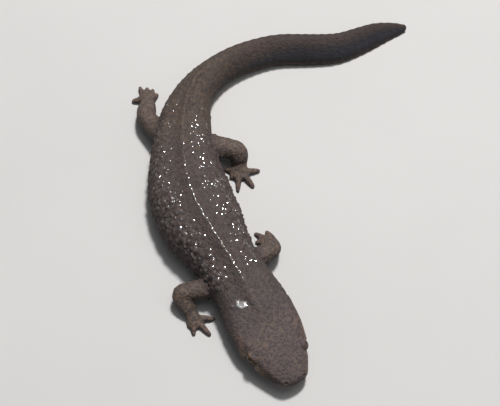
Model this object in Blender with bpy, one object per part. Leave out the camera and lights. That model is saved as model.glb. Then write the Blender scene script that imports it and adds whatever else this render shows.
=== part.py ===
"""Fuzhong warty newt: a still, life-size model that rests on its belly, feet and tail.

The body is one skin, a row of cross sections along a bent spine, parted by thin gaps into head, neck, torso
and three lengths of tail. Lengths are in millimetres and angles in degrees until finish() scales each part
to metres. X and Y lie on the floor, and Z is up.
"""

import math
import random
from dataclasses import dataclass

import bmesh
import bpy
import numpy as np
from mathutils import Matrix, Vector

METRES_PER_MM = 0.001
UP = Vector((0.0, 0.0, 1.0))

# Parts that touch keep this much air between their faces.
GAP = 0.3

# Where the snout lies in the frame the pose was laid out in, and the middle of the whole animal there.
SNOUT = (11.45, -49.2)
MIDDLE = (5.715, 3.053)

SPINE_STEP = 0.25
RANDOM_SEED = 63


@dataclass(frozen=True)
class Station:
    """One cross section of the body.

    along is measured from the tip of the snout, and heading is the way to the tail, anticlockwise from +X.
    bottom is the height of the lowest point: below zero the skin is pressed flat on the floor. widest is the
    share of the height where the section is widest. crown and belly say how square its upper and lower half
    are, with 2 for an ellipse. lean tips its upper edge over to the animal's right.
    """

    along: float
    heading: float
    half_width: float
    height: float
    bottom: float
    widest: float
    crown: float
    belly: float
    lean: float = 0.0


BODY = {
    "snout tip": Station(0.0, 117.0, 1.1, 1.1, 4.3, 0.50, 2.0, 2.0, -5.0),
    "snout": Station(0.2, 117.0, 2.1, 2.2, 3.7, 0.50, 2.1, 2.1, -5.0),
    "upper lip": Station(0.55, 117.0, 2.95, 3.2, 3.1, 0.48, 2.3, 2.2, -5.0),
    "nostrils": Station(1.2, 117.0, 3.7, 4.1, 2.6, 0.46, 2.5, 2.2, -5.0),
    "muzzle": Station(3.0, 118.0, 4.8, 5.2, 2.0, 0.42, 2.6, 2.2, -5.0),
    "cheeks": Station(5.6, 118.0, 6.2, 6.2, 1.7, 0.40, 2.7, 2.2, -5.0),
    "eyes": Station(9.3, 118.0, 7.9, 7.3, 1.4, 0.40, 2.7, 2.2, -5.0),
    "mouth corner": Station(13.0, 117.5, 8.8, 7.9, 1.3, 0.42, 2.5, 2.3, -5.0),
    "jaw joint": Station(16.0, 116.5, 9.2, 8.5, 1.1, 0.44, 2.4, 2.3, -4.0),
    "head back": Station(20.0, 116.5, 9.2, 9.7, 0.8, 0.45, 2.3, 2.3, -2.0),
    "neck": Station(24.2, 118.5, 8.7, 10.8, 0.5, 0.45, 2.2, 2.4),
    "shoulders": Station(29.6, 121.0, 8.1, 12.0, 0.2, 0.45, 2.2, 2.5),
    "chest": Station(34.6, 121.5, 8.0, 12.9, -0.1, 0.45, 2.2, 2.6),
    "ribs": Station(42.1, 122.0, 9.1, 14.1, -0.3, 0.44, 2.2, 2.7),
    "belly": Station(48.1, 119.5, 10.6, 14.8, -0.4, 0.44, 2.2, 2.7),
    "mid belly": Station(56.8, 106.5, 10.8, 14.7, -0.4, 0.44, 2.2, 2.7),
    "loin": Station(63.6, 98.5, 9.8, 13.8, -0.3, 0.45, 2.2, 2.6),
    "hips": Station(74.2, 90.5, 7.8, 11.7, 0.1, 0.46, 2.2, 2.3),
    "vent": Station(81.6, 81.0, 6.8, 10.8, 0.1, 0.46, 2.1, 2.1),
    "tail root": Station(87.0, 69.0, 5.6, 10.4, 0.1, 0.46, 2.0, 2.0, 2.0),
    "tail bend": Station(92.6, 53.5, 4.6, 10.2, -0.1, 0.46, 1.9, 1.9, 6.0),
    "after bend": Station(98.8, 38.0, 3.9, 9.9, -0.3, 0.46, 1.8, 1.8, 14.0),
    "tail swell": Station(105.6, 24.8, 3.35, 9.7, -0.4, 0.46, 1.8, 1.8, 24.0),
    "mid tail": Station(113.6, 14.6, 2.8, 9.4, -0.4, 0.46, 1.8, 1.8, 32.0),
    "far tail": Station(121.6, 0.6, 2.5, 9.3, -0.4, 0.47, 1.8, 1.8, 36.0),
    "tail dip": Station(129.8, 3.5, 2.3, 9.1, -0.4, 0.48, 1.8, 1.8, 37.0),
    "fin": Station(137.6, 24.0, 1.95, 8.5, -0.3, 0.49, 1.8, 1.8, 37.0),
    "narrowing": Station(144.0, 26.0, 1.5, 7.6, -0.2, 0.50, 1.8, 1.8, 37.0),
    "tip swell": Station(149.4, 21.0, 1.05, 5.4, -0.1, 0.50, 1.9, 1.9, 37.0),
    "tip": Station(153.4, 17.0, 0.7, 2.9, 0.2, 0.50, 2.0, 2.0, 37.0),
    "round end": Station(154.5, 16.0, 0.5, 1.7, 0.7, 0.50, 2.0, 2.0, 37.0),
    "tail end": Station(154.9, 16.0, 0.3, 0.8, 1.1, 0.50, 2.0, 2.0, 37.0),
}
LENGTH = BODY["tail end"].along


@dataclass(frozen=True)
class Swelling:
    """A ridge or swelling that runs along the body at one angle from the middle of the back, on both sides."""

    height: float
    from_top: float
    spread: float
    start: float
    stop: float
    fade: float


SWELLINGS = (
    Swelling(height=0.75, from_top=0.0, spread=8.0, start=22.0, stop=92.0, fade=8.0),
    Swelling(height=0.35, from_top=42.0, spread=11.0, start=24.0, stop=80.0, fade=8.0),
    Swelling(height=0.35, from_top=52.0, spread=12.0, start=2.5, stop=8.0, fade=2.5),
    Swelling(height=0.30, from_top=50.0, spread=13.0, start=13.0, stop=21.0, fade=3.0),
    Swelling(height=0.28, from_top=94.0, spread=10.0, start=2.0, stop=13.5, fade=2.5),
)

# Places with a section of their own, so that the snout and the end of the tail are round.
ROUND_ENDS = (0.2, 0.55, 154.5)

# How far round from the middle of the back each point of a section lies, to the middle of the belly.
HEAD_ROUND = (0, 11, 22, 32, 42, 51, 60, 69, 78, 87, 96, 106, 118, 131, 146, 163, 180)
TRUNK_ROUND = (0, 5, 11, 21, 32, 43, 54, 66, 78, 91, 105, 120, 136, 157, 180)
TAIL_ROUND = (0, 10, 28, 46, 64, 82, 98, 116, 134, 152, 170, 180)

# The node, where it starts and stops along the spine, the distance between its sections, and their points.
NECK_START = 20.5
TORSO_START = 26.4
TAIL_START = 78.0
LENGTHS = (
    ("neck", NECK_START, TORSO_START, 1.5, HEAD_ROUND),
    ("torso", TORSO_START, TAIL_START, 1.9, TRUNK_ROUND),
    ("tail_base", TAIL_START, 96.0, 1.9, TRUNK_ROUND),
    ("tail_middle", 96.0, 124.0, 2.2, TAIL_ROUND),
    ("tail_tip", 124.0, LENGTH, 1.9, TAIL_ROUND),
)

MOUTH_CORNER = 13.2
MOUTH_LINE = ((-3.0, -0.5), (0.0, -0.5), (2.0, -0.3), (5.0, -0.25), (8.5, -0.3), (11.0, -0.9), (MOUTH_CORNER, -1.8))
LIP_OVERHANG = 0.3
JAW_BLOCK_HALF_WIDTH = 14.0
JAW_BLOCK_BOTTOM = -8.0

EYE_RADIUS = 1.5
EYE_PLACES = {"eye_left": (8.0, 5.8), "eye_right": (10.4, -6.8)}
EYE_RISE = 1.9
EYE_LOOKS_FORWARD = 12.0
EYE_LOOKS_UP = 22.0
LID_THICKNESS = 0.45
LID_SHAPE = (1.3, 0.95, 0.9, 1.0)
EYE_OPENING = (1.3, 0.85)

NOSTRIL_RADIUS = 0.4
NOSTRIL_ALONG = 0.75
NOSTRIL_FROM_TOP = 48.0


@dataclass(frozen=True)
class WartRow:
    """Warts along one line of the torso, on both sides, as far round from the middle of the back."""

    from_top: float
    start: float
    stop: float
    pitch: float
    radius: float


WART_ROWS = (
    WartRow(from_top=20.0, start=31.0, stop=74.0, pitch=4.3, radius=0.52),
    WartRow(from_top=33.0, start=29.0, stop=75.0, pitch=3.0, radius=0.62),
    WartRow(from_top=46.0, start=30.0, stop=75.0, pitch=2.7, radius=0.72),
    WartRow(from_top=61.0, start=38.0, stop=68.0, pitch=3.6, radius=0.58),
    WartRow(from_top=76.0, start=40.0, stop=66.0, pitch=4.8, radius=0.50),
)
WART_SIDES = 6
WART_RINGS = 4
WART_FLATNESS = 0.75
WART_SUNK = 0.12


@dataclass(frozen=True)
class Leg:
    """One leg as it lies: root, bend and wrist are joints, and tips are the digits' ends, left to right."""

    side: str
    names: tuple
    root: tuple
    bend: tuple
    wrist: tuple
    palm: tuple
    tips: tuple
    radii: tuple
    palm_size: tuple
    digit_radius: float


FORE_RADII = (2.9, 2.6, 2.3, 2.3, 1.7)
HIND_RADII = (3.2, 2.9, 2.5, 2.6, 1.9)
FORE_PALM = (2.0, 1.15)
HIND_PALM = (2.5, 1.2)
ARM_NAMES = ("upper_arm", "forearm", "hand")
LEG_NAMES = ("thigh", "shank", "foot")
WRIST_FLATNESS = 0.75
DIGIT_TIP_HEIGHT = 0.55
DIGIT_TAPER = 0.78
KNUCKLE_SPREAD = 0.62

LEGS = (
    Leg(
        side="left",
        names=ARM_NAMES,
        root=(-3.5, -19.0, 5.6),
        bend=(5.4, -13.9, 6.0),
        wrist=(6.3, -10.8, 2.1),
        palm=(5.3, -9.8, 1.1),
        tips=((2.6, -11.6), (1.0, -9.3), (0.9, -6.8), (4.1, -6.2)),
        radii=FORE_RADII,
        palm_size=FORE_PALM,
        digit_radius=0.85,
    ),
    Leg(
        side="right",
        names=ARM_NAMES,
        root=(-5.5, -23.2, 5.4),
        bend=(-18.3, -25.1, 4.6),
        wrist=(-15.1, -29.6, 2.0),
        palm=(-14.2, -31.3, 1.1),
        tips=((-8.6, -30.7), (-10.0, -35.3), (-14.3, -35.3), (-15.7, -33.2)),
        radii=FORE_RADII,
        palm_size=FORE_PALM,
        digit_radius=0.85,
    ),
    Leg(
        side="left",
        names=LEG_NAMES,
        root=(-13.0, 16.9, 5.4),
        bend=(-3.4, 15.4, 5.2),
        wrist=(-2.6, 12.9, 2.0),
        palm=(-3.0, 11.1, 1.1),
        tips=((2.8, 11.4), (1.1, 6.3), (-3.2, 4.8), (-5.6, 8.7), (-7.3, 11.7)),
        radii=HIND_RADII,
        palm_size=HIND_PALM,
        digit_radius=0.9,
    ),
    Leg(
        side="right",
        names=LEG_NAMES,
        root=(-20.5, 16.0, 5.4),
        bend=(-28.2, 25.2, 4.9),
        wrist=(-28.0, 31.4, 2.0),
        palm=(-28.2, 33.0, 1.1),
        tips=((-32.7, 32.4), (-30.6, 37.1), (-28.5, 36.9), (-26.7, 36.4), (-25.3, 34.8)),
        radii=HIND_RADII,
        palm_size=HIND_PALM,
        digit_radius=0.85,
    ),
)

SKIN_COLOURS = {
    "head": (0.115, 0.085, 0.070),
    "back": (0.080, 0.062, 0.055),
    "tail": (0.050, 0.042, 0.045),
    "leg": (0.090, 0.068, 0.058),
    "eye": (0.020, 0.014, 0.010),
}
SKIN_ROUGHNESS = 0.5
EYE_ROUGHNESS = 0.08


def smooth_between(position, places, values):
    """Reads a value between the stations by a cubic that never overshoots them."""
    steps = np.diff(places)
    slopes = np.diff(values) / steps
    tangents = np.zeros_like(values)
    tangents[0], tangents[-1] = slopes[0], slopes[-1]
    before, after = slopes[:-1], slopes[1:]
    same_way = before * after > 0
    heavier = 2 * steps[1:] + steps[:-1]
    lighter = steps[1:] + 2 * steps[:-1]
    safe_before = np.where(same_way, before, 1.0)
    safe_after = np.where(same_way, after, 1.0)
    mean = (heavier + lighter) / (heavier / safe_before + lighter / safe_after)
    tangents[1:-1] = np.where(same_way, mean, 0.0)
    index = np.clip(np.searchsorted(places, position, side="right") - 1, 0, len(places) - 2)
    t = (position - places[index]) / steps[index]
    return (
        values[index] * (1 + 2 * t) * (1 - t) ** 2
        + tangents[index] * steps[index] * t * (1 - t) ** 2
        + values[index + 1] * t**2 * (3 - 2 * t)
        + tangents[index + 1] * steps[index] * t**2 * (t - 1)
    )


STATION_PLACES = np.array([station.along for station in BODY.values()])


def measure(field, along):
    """The named size of the body at a distance from the snout."""
    values = np.array([getattr(station, field) for station in BODY.values()])
    return smooth_between(along, STATION_PLACES, values)


def lay_spine():
    """The spine's distances and its points on the floor, found by walking along its heading."""
    distances = np.arange(0.0, LENGTH + SPINE_STEP, SPINE_STEP)
    middles = (distances[:-1] + distances[1:]) / 2
    headings = np.radians(measure("heading", middles))
    east = SNOUT[0] - MIDDLE[0] + np.concatenate(([0.0], np.cumsum(np.cos(headings)) * SPINE_STEP))
    north = SNOUT[1] - MIDDLE[1] + np.concatenate(([0.0], np.cumsum(np.sin(headings)) * SPINE_STEP))
    return distances, east, north


SPINE = lay_spine()


def body_point(along, sideways, height):
    """A point by its distance from the snout, how far it lies to the animal's left, and its height."""
    distances, east, north = SPINE
    heading = math.radians(measure("heading", along))
    x = np.interp(along, distances, east) + sideways * math.sin(heading)
    y = np.interp(along, distances, north) - sideways * math.cos(heading)
    return Vector((x, y, height))


def section_middle(along, extra=0.0):
    """The height of the middle of a section, which stands so that its lowest point is at its bottom."""
    lean = math.radians(measure("lean", along))
    lower = measure("height", along) * measure("widest", along) + extra
    half_width = measure("half_width", along) + extra
    return measure("bottom", along) - extra + math.hypot(lower * math.cos(lean), half_width * math.sin(lean))


def section_point(along, sideways, rise, extra=0.0):
    """A point of a section by how far it lies to the left and above its middle, before the section leans."""
    lean = math.radians(measure("lean", along))
    leaning_sideways = sideways * math.cos(lean) - rise * math.sin(lean)
    leaning_rise = rise * math.cos(lean) + sideways * math.sin(lean)
    return body_point(along, leaning_sideways, section_middle(along, extra) + leaning_rise)


def fade(along, swelling):
    """1 inside the swelling's stretch of the body, and falling smoothly to 0 past its ends."""
    outside = max(swelling.start - along, along - swelling.stop, 0.0) / swelling.fade
    return math.exp(-4.0 * outside**2)


def skin_point(along, from_top, extra=0.0):
    """The skin at an angle round from the middle of the back, to the left where it is above zero.

    extra moves the skin outwards, and none of it reaches below the floor.
    """
    half_width = measure("half_width", along) + extra
    height = measure("height", along)
    lower = height * measure("widest", along) + extra
    upper = height * (1.0 - measure("widest", along)) + extra
    angle = math.radians(90.0 - from_top)
    above = math.sin(angle) > 0
    power = 2.0 / measure("crown" if above else "belly", along)
    sideways = half_width * math.copysign(abs(math.cos(angle)) ** power, math.cos(angle))
    rise = (upper if above else lower) * math.copysign(abs(math.sin(angle)) ** power, math.sin(angle))
    away = math.hypot(sideways, rise)
    around = abs((from_top + 180.0) % 360.0 - 180.0)
    raised = 0.0
    for swelling in SWELLINGS:
        off_line = (around - swelling.from_top) / swelling.spread
        raised += swelling.height * fade(along, swelling) * math.exp(-(off_line**2))
    sideways *= 1.0 + raised / away
    rise *= 1.0 + raised / away
    point = section_point(along, sideways, rise, extra)
    point.z = max(point.z, 0.0)
    return point


def skin_normal(along, from_top):
    """The way straight out of the skin."""
    step = 0.2
    forward = skin_point(along + step, from_top) - skin_point(along - step, from_top)
    turn = 2.0
    round_body = skin_point(along, from_top + turn) - skin_point(along, from_top - turn)
    return round_body.cross(forward).normalized()


def loft(rings):
    """A closed triangle mesh through rings of points, with a flat cap on each end."""
    mesh = bmesh.new()
    rows = [[mesh.verts.new(point) for point in ring] for ring in rings]
    for near, far in zip(rows, rows[1:]):
        for i, _ in enumerate(near):
            j = (i + 1) % len(near)
            mesh.faces.new((near[i], near[j], far[j], far[i]))
    for row in (rows[0], rows[-1]):
        mesh.faces.new(row)
    bmesh.ops.triangulate(mesh, faces=mesh.faces[:])
    bmesh.ops.recalc_face_normals(mesh, faces=mesh.faces[:])
    return mesh


def body_loft(start, stop, pitch, half_round, extra=0.0):
    """The skin between two places along the spine."""
    count = max(2, round((stop - start) / pitch))
    places = {*np.linspace(start, stop, count + 1), *(place for place in ROUND_ENDS if start < place < stop)}
    angles = [float(angle) for angle in half_round]
    angles += [-float(angle) for angle in reversed(half_round[1:-1])]
    return loft([[skin_point(along, angle, extra) for angle in angles] for along in sorted(places)])


def new_object(name, mesh, collection):
    """Puts a bmesh into an object of its own."""
    data = bpy.data.meshes.new(name)
    mesh.to_mesh(data)
    mesh.free()
    obj = bpy.data.objects.new(name, data)
    collection.objects.link(obj)
    return obj


def combine(obj, operation, tools, helpers):
    """Applies one Boolean with a list of tool meshes to an object, which keeps only its largest closed surface."""
    modifier = obj.modifiers.new(operation.lower(), "BOOLEAN")
    modifier.operation = operation
    modifier.solver = "EXACT"
    modifier.operand_type = "COLLECTION"
    modifier.collection = bpy.data.collections.new(f"{obj.name} tools")
    helpers.children.link(modifier.collection)
    for tool in tools:
        new_object("tool", tool, modifier.collection)
    result = bpy.data.meshes.new_from_object(obj.evaluated_get(bpy.context.evaluated_depsgraph_get()))
    for tool in list(modifier.collection.objects):
        bpy.data.objects.remove(tool)
    bpy.data.collections.remove(modifier.collection)
    obj.modifiers.clear()
    replaced = obj.data
    obj.data = result
    bpy.data.meshes.remove(replaced)
    keep_largest(obj)


def keep_largest(obj):
    """Leaves an object only its largest closed surface."""
    mesh = bmesh.new()
    mesh.from_mesh(obj.data)
    left = set(mesh.verts)
    surfaces = []
    while left:
        reached = {left.pop()}
        edge_of_search = list(reached)
        while edge_of_search:
            vertex = edge_of_search.pop()
            found = {edge.other_vert(vertex) for edge in vertex.link_edges} & left
            left -= found
            reached |= found
            edge_of_search.extend(found)
        surfaces.append(reached)
    surfaces.sort(key=len)
    scraps = [vertex for surface in surfaces[:-1] for vertex in surface]
    bmesh.ops.delete(mesh, geom=scraps, context="VERTS")
    bmesh.ops.triangulate(mesh, faces=mesh.faces[:])
    mesh.to_mesh(obj.data)
    mesh.free()


def ball(radius, place, sides, rings, matrix=Matrix.Identity(4)):
    """A sphere, shaped by the matrix before it is set in its place."""
    mesh = bmesh.new()
    bmesh.ops.create_uvsphere(
        mesh,
        u_segments=sides,
        v_segments=rings,
        radius=radius,
        matrix=Matrix.Translation(place) @ matrix,
    )
    return mesh


def ahead():
    """The way the head points."""
    return (body_point(0.0, 0.0, 0.0) - body_point(MOUTH_CORNER, 0.0, 0.0)).normalized()


def jaw_block(grow):
    """What lies below the line of the mouth and in front of its corner, as a block wider than the head."""
    profile = [(along, rise + grow) for along, rise in MOUTH_LINE]
    profile[-1] = (MOUTH_CORNER + grow, profile[-1][1])
    profile += [(MOUTH_CORNER + grow, JAW_BLOCK_BOTTOM), (MOUTH_LINE[0][0], JAW_BLOCK_BOTTOM)]
    heights = [section_middle(max(along, 0.0)) + rise for along, rise in profile]
    rings = []
    for side in (-JAW_BLOCK_HALF_WIDTH, JAW_BLOCK_HALF_WIDTH):
        edge = section_point(0.0, side, 0.0) - UP * section_middle(0.0)
        rings.append([edge - ahead() * along + UP * height for (along, _), height in zip(profile, heights)])
    return loft(rings)


def eye_frame(eye):
    """Stands at the middle of an eye, with Z the way it looks and X along the opening of its lids."""
    along, sideways = EYE_PLACES[eye]
    middle = section_point(along, sideways, EYE_RISE)
    outward = ahead().cross(UP) * -math.copysign(1.0, sideways)
    turn, raise_by = math.radians(EYE_LOOKS_FORWARD), math.radians(EYE_LOOKS_UP)
    look = (outward * math.cos(turn) + ahead() * math.sin(turn)) * math.cos(raise_by) + UP * math.sin(raise_by)
    level = look.cross(UP).normalized()
    return Matrix.Translation(middle) @ Matrix((level, look.cross(level), look)).transposed().to_4x4()


def eye_opening(eye):
    """A slightly flaring rod of almond section, from the middle of the eye outwards."""
    reach = 4.0
    mesh = bmesh.new()
    bmesh.ops.create_cone(
        mesh,
        cap_ends=True,
        segments=14,
        radius1=0.85,
        radius2=1.35,
        depth=reach,
        matrix=eye_frame(eye)
        @ Matrix.Translation((0.0, 0.0, reach / 2))
        @ Matrix.Diagonal((EYE_OPENING[0], EYE_OPENING[1], 1.0, 1.0)),
    )
    return mesh


def build_head(parts, helpers):
    """The head with its lids, eye sockets, nostrils and upper lip, and the lower jaw below the mouth."""
    head = new_object("head", body_loft(0.0, NECK_START - GAP / 2, 1.2, HEAD_ROUND), parts)
    jaw = new_object("lower_jaw", body_loft(0.0, NECK_START, 1.3, HEAD_ROUND, -LIP_OVERHANG), parts)
    combine(jaw, "INTERSECT", [jaw_block(-GAP / 2)], helpers)
    lids = []
    hollows = [jaw_block(GAP / 2)]
    for eye in EYE_PLACES:
        lid_shape = eye_frame(eye) @ Matrix.Diagonal(LID_SHAPE)
        lids.append(ball(EYE_RADIUS + GAP + LID_THICKNESS, Vector(), 18, 12, lid_shape))
        hollows.append(ball(EYE_RADIUS + GAP, Vector(), 16, 12, eye_frame(eye)))
        hollows.append(eye_opening(eye))
    for from_top in (-NOSTRIL_FROM_TOP, NOSTRIL_FROM_TOP):
        hollows.append(ball(NOSTRIL_RADIUS, skin_point(NOSTRIL_ALONG, from_top), 8, 6))
    combine(head, "UNION", lids, helpers)
    combine(head, "DIFFERENCE", hollows, helpers)
    eyes = [new_object(eye, ball(EYE_RADIUS, Vector(), 14, 10, eye_frame(eye)), parts) for eye in EYE_PLACES]
    return head, jaw, *eyes


def build_lengths(parts):
    """Neck, torso and tail, each a stretch of the one skin."""
    lengths = {}
    for name, start, stop, pitch, half_round in LENGTHS:
        end = stop if stop == LENGTH else stop - GAP / 2
        lengths[name] = new_object(name, body_loft(start + GAP / 2, end, pitch, half_round), parts)
    return lengths


def raise_warts(torso, helpers):
    """Domes in rows down both sides of the back, each a little different, fused to the torso."""
    draw = random.Random(RANDOM_SEED)
    warts = []
    for row in WART_ROWS:
        for side in (-1, 1):
            along = row.start + draw.uniform(0.0, row.pitch)
            while along < row.stop:
                from_top = side * (row.from_top + draw.uniform(-4.0, 4.0))
                radius = row.radius * draw.uniform(0.8, 1.2)
                out = skin_normal(along, from_top)
                shape = out.to_track_quat("Z", "X").to_matrix().to_4x4()
                shape @= Matrix.Rotation(draw.uniform(0.0, math.pi), 4, "Z")
                shape @= Matrix.Diagonal((1.0, draw.uniform(0.85, 1.0), WART_FLATNESS, 1.0))
                place = skin_point(along, from_top) - out * WART_SUNK
                warts.append(ball(radius, place, WART_SIDES, WART_RINGS, shape))
                along += row.pitch * draw.uniform(0.8, 1.2)
    combine(torso, "UNION", warts, helpers)


def limb(start, end, radii, flats=(1.0, 1.0), sides=12):
    """A fleshy rod with round ends, by its radius at the start, middle and end."""
    axis = (end - start).normalized()
    across = axis.cross(UP).normalized()
    over = across.cross(axis)
    length = (end - start).length
    profile = []
    for around in (65.0, 35.0):
        angle = math.radians(around)
        profile.append((-radii[0] * math.sin(angle), radii[0] * math.cos(angle)))
    for share in (0.0, 0.3, 0.65, 1.0):
        bulge = radii[1] - (radii[0] + radii[2]) / 2
        radius = radii[0] + (radii[2] - radii[0]) * share + bulge * 4 * share * (1 - share)
        profile.append((share * length, radius))
    for around in (35.0, 65.0):
        angle = math.radians(around)
        profile.append((length + radii[2] * math.sin(angle), radii[2] * math.cos(angle)))
    rings = []
    for position, radius in profile:
        share = min(max(position / length, 0.0), 1.0)
        flat = flats[0] + (flats[1] - flats[0]) * share
        centre = start + axis * position
        turns = [2 * math.pi * (i + 0.5) / sides for i in range(sides)]
        rings.append(
            [centre + (across * math.cos(turn) + over * math.sin(turn) * flat) * radius for turn in turns]
        )
    return loft(rings)


def trim(mesh, point, normal):
    """Cuts away what lies beyond a plane, and closes the cut with a flat face."""
    geometry = mesh.verts[:] + mesh.edges[:] + mesh.faces[:]
    bmesh.ops.bisect_plane(mesh, geom=geometry, plane_co=point, plane_no=normal, clear_outer=True)
    open_edges = [edge for edge in mesh.edges if edge.is_boundary]
    bmesh.ops.holes_fill(mesh, edges=open_edges, sides=0)
    bmesh.ops.triangulate(mesh, faces=mesh.faces[:])
    bmesh.ops.recalc_face_normals(mesh, faces=mesh.faces[:])
    return mesh


def placed(point):
    """A point of the pose in the model's own frame."""
    return Vector((point[0] - MIDDLE[0], point[1] - MIDDLE[1], point[2]))


def build_foot(name, leg, parts, helpers):
    """The palm with its digits, flat where they lie on the floor."""
    wrist, palm = placed(leg.wrist), placed(leg.palm)
    width, thickness = leg.palm_size
    forward = Vector((palm.x - wrist.x, palm.y - wrist.y, 0.0)).normalized()
    leftward = UP.cross(forward)
    end = palm + forward * width * 0.25
    flat = thickness / width
    radii = (leg.radii[4] * 0.95, width * 0.98, width * 0.9)
    foot = new_object(name, limb(wrist, end, radii, (WRIST_FLATNESS, flat)), parts)
    digits = []
    for i, tip in enumerate(leg.tips):
        beside = 1.0 - 2.0 * i / (len(leg.tips) - 1)
        base = palm + leftward * beside * width * KNUCKLE_SPREAD
        base.z = leg.digit_radius
        end = placed((*tip, DIGIT_TIP_HEIGHT))
        tip_radius = leg.digit_radius * DIGIT_TAPER
        end -= (end - base).normalized() * tip_radius
        radii = (leg.digit_radius, leg.digit_radius * 0.97, tip_radius)
        digits.append(limb(base, end, radii, sides=8))
    combine(foot, "UNION", digits, helpers)
    floor = bmesh.new()
    bmesh.ops.create_cube(floor, size=40.0, matrix=Matrix.Translation(palm - UP * (palm.z + 20.0)))
    combine(foot, "DIFFERENCE", [floor], helpers)
    return foot


def build_leg(leg, parts, helpers):
    """Upper leg, lower leg and foot, parted at the bend and the wrist, with the root shaped to the body."""
    root, bend, wrist, palm = (placed(point) for point in (leg.root, leg.bend, leg.wrist, leg.palm))
    upper_name, lower_name, foot_name = (f"{leg.side}_{name}" for name in leg.names)
    ways = [(bend - root).normalized(), (wrist - bend).normalized(), (palm - wrist).normalized()]
    at_bend = (ways[0] + ways[1]).normalized()
    at_wrist = (ways[1] + ways[2]).normalized()
    upper_mesh = limb(root, bend, leg.radii[:3])
    upper = new_object(upper_name, trim(upper_mesh, bend - at_bend * GAP / 2, at_bend), parts)
    combine(upper, "DIFFERENCE", [body_loft(NECK_START, 96.0, 1.9, TRUNK_ROUND, GAP)], helpers)
    lower_mesh = limb(bend, wrist, leg.radii[2:], (1.0, WRIST_FLATNESS))
    trim(lower_mesh, bend + at_bend * GAP / 2, -at_bend)
    lower = new_object(lower_name, trim(lower_mesh, wrist - at_wrist * GAP / 2, at_wrist), parts)
    foot = build_foot(foot_name, leg, parts, helpers)
    beyond_wrist = bmesh.new()
    beyond_wrist.from_mesh(foot.data)
    trim(beyond_wrist, wrist + at_wrist * GAP / 2, -at_wrist)
    beyond_wrist.to_mesh(foot.data)
    beyond_wrist.free()
    return upper, lower, foot


def colour(obj, key):
    """Gives an object its own material."""
    material = bpy.data.materials.new(f"{obj.name} {key}")
    material.use_nodes = True
    shader = material.node_tree.nodes["Principled BSDF"]
    shader.inputs["Base Color"].default_value = (*SKIN_COLOURS[key], 1.0)
    shader.inputs["Roughness"].default_value = EYE_ROUGHNESS if key == "eye" else SKIN_ROUGHNESS
    obj.data.materials.clear()
    obj.data.materials.append(material)


def finish(obj, root):
    """Moves an object's origin to the middle of its mesh, scales it to metres and hangs it on the root."""
    corners = [Vector(corner) for corner in obj.bound_box]
    middle = sum(corners, Vector()) / len(corners)
    obj.data.transform(Matrix.Scale(METRES_PER_MM, 4) @ Matrix.Translation(-middle))
    obj.location = middle * METRES_PER_MM
    obj.parent = root
    obj.data.shade_smooth()
    obj.data.set_sharp_from_angle(angle=math.radians(50))


def main():
    for obj in list(bpy.data.objects):
        bpy.data.objects.remove(obj)
    parts = bpy.data.collections.new("fuzhong warty newt")
    helpers = bpy.data.collections.new("cutters")
    for collection in (parts, helpers):
        bpy.context.scene.collection.children.link(collection)
    root = bpy.data.objects.new("newt", None)
    parts.objects.link(root)
    head, jaw, *eyes = build_head(parts, helpers)
    lengths = build_lengths(parts)
    raise_warts(lengths["torso"], helpers)
    colours = {head: "head", jaw: "head", lengths["neck"]: "head", lengths["torso"]: "back"}
    colours |= {eye: "eye" for eye in eyes}
    colours |= {lengths[name]: "tail" for name in ("tail_base", "tail_middle", "tail_tip")}
    for leg in LEGS:
        colours |= {piece: "leg" for piece in build_leg(leg, parts, helpers)}
    for obj, key in colours.items():
        colour(obj, key)
        finish(obj, root)


if __name__ == "__main__":
    main()
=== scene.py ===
"""Looks of a fuzhong warty newt: one wet, warty skin and two eyes, on a plain pale floor.

The skin is lofted along the same bent spine, and from the same sizes, as the CAD nodes that it replaces.
Lengths are in millimetres until a finished piece is scaled to metres, and angles are in degrees.
"""

import itertools
import logging
import math
import random
from collections.abc import Callable
from dataclasses import astuple, dataclass, field
from enum import Enum
from typing import Any

import bmesh
import bpy
import numpy as np
from mathutils import Matrix, Vector, kdtree

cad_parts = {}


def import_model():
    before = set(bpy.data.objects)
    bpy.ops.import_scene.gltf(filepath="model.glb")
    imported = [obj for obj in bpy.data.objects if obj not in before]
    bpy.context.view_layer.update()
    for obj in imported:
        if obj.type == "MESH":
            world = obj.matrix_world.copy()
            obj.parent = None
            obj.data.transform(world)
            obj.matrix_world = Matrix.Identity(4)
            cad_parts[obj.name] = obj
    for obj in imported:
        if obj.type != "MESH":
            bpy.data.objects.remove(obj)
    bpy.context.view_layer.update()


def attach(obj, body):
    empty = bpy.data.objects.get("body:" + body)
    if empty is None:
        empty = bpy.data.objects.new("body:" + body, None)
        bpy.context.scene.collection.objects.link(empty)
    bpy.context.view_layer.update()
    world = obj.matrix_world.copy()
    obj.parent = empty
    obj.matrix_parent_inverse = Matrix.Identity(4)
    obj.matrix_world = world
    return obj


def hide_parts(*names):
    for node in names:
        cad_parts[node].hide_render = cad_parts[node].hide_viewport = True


LOG = logging.getLogger("newt")

METRES_PER_MM = 0.001
UP = Vector((0.0, 0.0, 1.0))

# The pose was laid out in a frame of its own, and this is the middle of the whole animal there.
MIDDLE = (5.715, 3.053)

Numbers = np.ndarray
Size = float | np.ndarray
Socket = bpy.types.NodeSocket
Tint = tuple[float, float, float, float]


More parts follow.
